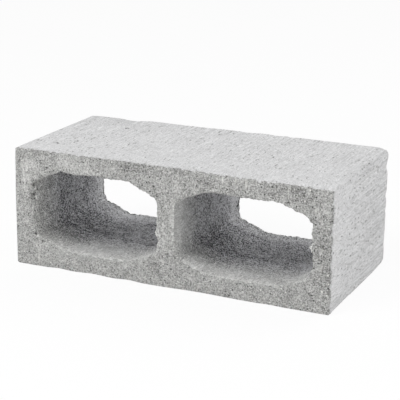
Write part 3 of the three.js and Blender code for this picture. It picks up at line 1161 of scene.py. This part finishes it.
struck_face, tree, place, painted = new_finish("dry_cast_concrete_struck_open")
sand = sand_grains(tree, place, STRUCK_SAND)
sandy = mixed_by_weight(tree, place, STRUCK_GRAIN, sand, STRUCK_CLOUD, STRUCK_WEIGHTS)
body = shaded(tree, sandy, STRUCK_ENDS, dark=linear("#5b5b59"), pale=linear("#d5d5d2"))
pits = specks(tree, place, STRUCK_PIT_SPACING, reach=0.27, share=0.5, shift=0.3)
colour, height = with_pits(tree, body, sandy, pits, "#484846")
finish_concrete(struck_face, colour, height, STRUCK_BUMP)

# %% [markdown]
# ## The core walls
#
# The core formers are pulled straight up out of the fresh mix. They tear its surface open, so
# the walls of the cores are a rubble of grains with gaps behind them, and the gaps are painted
# dark as the shade in them. That gives the eye a much darker grey than the outside, made of
# bright and black points. The walls are also painted darker and cooler deeper in, as the shade
# inside a core, and a little paler again near the struck rim, as light that comes in from
# behind. At the foot of a former the concrete was pressed hardest, and cement paste was smeared
# there into pale streaks, and the mouth is partly painted paler as light that falls in. So the
# colours and the relief are mixed by how far into the core a place lies, which the block's own
# depth gives for both cores at once.

# %% How far into the core
# 0 at the mouth, 1 once it is well inside, and a little less again at the struck rim. It sets the
# painted shade inside the core, as well as the pits and the relief.
MOUTH = 8 * MM
INSIDE = 74 * MM
NEAR_RIM = 34 * MM
AT_RIM = 0.7

core_wall, tree, place, painted = new_finish("dry_cast_concrete_torn_by_the_core")
past_mouth = by_depth(tree, place, (low.y + MOUTH, low.y + INSIDE), (0.0, 1.0))
before_rim = by_depth(tree, place, (high.y - NEAR_RIM, high.y), (1.0, AT_RIM))
inner = add_node(tree, "Math", {0: past_mouth, 1: before_rim}, operation="MULTIPLY")
print("darkest from", round(INSIDE / MM), "mm in")

# %% Colours of the core walls
# Each has a colour at the mouth and one inside. The darker, cooler colours inside are painted
# shade, and the paler ones at the mouth are partly paste and partly painted light.
CORE_COLOURS = {
    "gaps between grains": ("#a4a4a2", "#202022"),
    "tops of grains": ("#f8f8f5", "#e2e2e5"),
    "hollows in paste": ("#b6b6b5", "#88888a"),
    "ridges in paste": ("#ececeb", "#b6b6b9"),
}

core_colour = {}
for name, (at_mouth, inside) in CORE_COLOURS.items():
    inwards = {"Factor": inner, "A": linear(at_mouth), "B": linear(inside)}
    core_colour[name] = add_node(tree, "Mix", inwards, data_type="RGBA")
    print(name, "from", at_mouth, "to", inside)

# %% Grains and gaps of the core walls
# The sand is the same as at the pallet, and is drawn as coarse.
CORE_GRAIN = 1.2 * MM
CORE_SAND = 1.15 * MM
CORE_CLOUD = 16 * MM
CORE_WEIGHTS = (0.6, 0.3, 0.25)
CORE_TONE = 0.12
CORE_ENDS = (0.462, 0.682)

sand = sand_grains(tree, place, CORE_SAND)
rubble = mixed_by_weight(tree, place, CORE_GRAIN, sand, CORE_CLOUD, CORE_WEIGHTS)
# On the core walls most of the painted tone is painted light and shade.
tone = {0: painted["tone"], 1: CORE_TONE, 2: rubble}
toned = add_node(tree, "Math", tone, operation="MULTIPLY_ADD")
# The gaps are painted dark, as the shade behind the grains.
gaps = core_colour["gaps between grains"]
body = shaded(tree, toned, CORE_ENDS, gaps, core_colour["tops of grains"])
print("rubble drawn", round(CORE_SAND / MM, 2), "mm wide")

# %% Pits of the core walls, and where grains broke out
# The pits and the holes of broken-out grains are painted nearly black, as the shade in them.
CORE_PIT_SPACING = 3.6 * MM
CORE_PIT_SHARES = (0.5, 0.8)  # of the places, at the mouth and inside
BROKEN_OUT = (1.0, 3.0)  # the painted values where a grain begins to be missing and is gone

share = add_node(tree, "MapRange", {"Value": inner, **limits("To", CORE_PIT_SHARES)})
small_pits = specks(tree, place, CORE_PIT_SPACING, reach=0.3, share=share, shift=0.3)
missing = add_node(tree, "MapRange", {"Value": painted["pitted"], **limits("From", BROKEN_OUT)})
pits = add_node(tree, "Math", {0: small_pits, 1: missing}, operation="MAXIMUM")
pitted, height = with_pits(tree, body, rubble, pits, "#242424")
print("pits about", round(CORE_PIT_SPACING / MM, 1), "mm apart")

# %% Paste pressed on the core walls, and their relief
# The streaks in the paste are as fine as the sand that drew them, and are drawn wider.
PASTE_STREAK = 1.6 * MM
PASTE_STREAK_STRETCH = (1, 8, 1)
PASTE_ENDS = (0.35, 0.65)
CORE_PASTE = 0.7
CORE_BUMP = (0.9 * MM, 1.3 * MM)  # at the mouth and inside

smears = streaks(tree, place, PASTE_STREAK, PASTE_STREAK_STRETCH, detail=2.0)
hollows = core_colour["hollows in paste"]
paste = shaded(tree, smears, PASTE_ENDS, hollows, core_colour["ridges in paste"])
colour = with_paste(tree, pitted, painted["pressed"], CORE_PASTE, paste)
relief = add_node(tree, "MapRange", {"Value": inner, **limits("To", CORE_BUMP)})
finish_concrete(core_wall, colour, height, relief)

# %% [markdown]
# ## The finishes on the block
#
# One mesh can carry several materials, and each face holds the number of its own. The faces
# got theirs when the mesh was cut, so here the four finishes only have to be put in the slots
# in that order.

# %% Give each face its finish
finishes = {SKIN: moulded, PALLET: pallet_face, STRUCK: struck_face, CORE: core_wall}
for number in sorted(finishes):
    block_mesh.materials.append(finishes[number])
print("finishes", [finish.name for finish in block_mesh.materials])

# %% [markdown]
# ## Finish

# %% Finish
print("finished")
